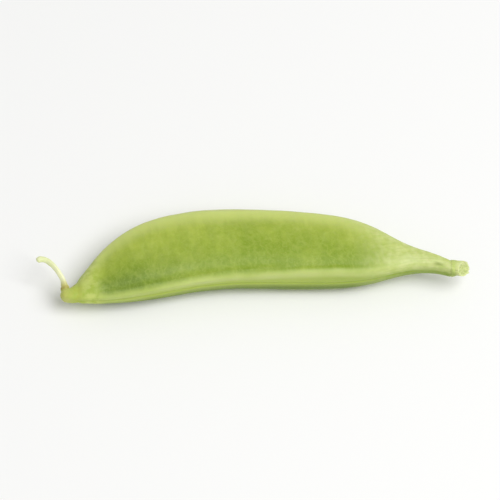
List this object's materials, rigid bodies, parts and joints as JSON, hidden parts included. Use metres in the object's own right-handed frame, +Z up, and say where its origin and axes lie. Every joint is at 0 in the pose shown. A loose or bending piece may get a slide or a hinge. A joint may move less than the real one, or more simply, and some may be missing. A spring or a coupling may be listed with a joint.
{
  "type": "snow pea pod",
  "caption": "Plump edible pea pod, picked and lying on its side, with a torn stem stub at one end and a withered curled style at the tip; a food prop.",
  "frame": {"origin": "middle of the whole object's box, on the surface that it rests on", "axes": "+X along the pod from the blossom tip to the cut stem, +Y from the straight seam to the bowed seam, +Z up through the broad sides"},
  "size_m": [0.0804, 0.0184, 0.0092],
  "materials": {
    "pod_skin": "waxy green skin with a soft sheen",
    "stem_cut": "pale fibrous torn tissue",
    "dry_style": "dry cream thread"
  },
  "bodies": {
    "root": {"pod": "pod_skin", "stem_stub": "stem_cut", "style": "dry_style"}
  },
  "joints": []
}
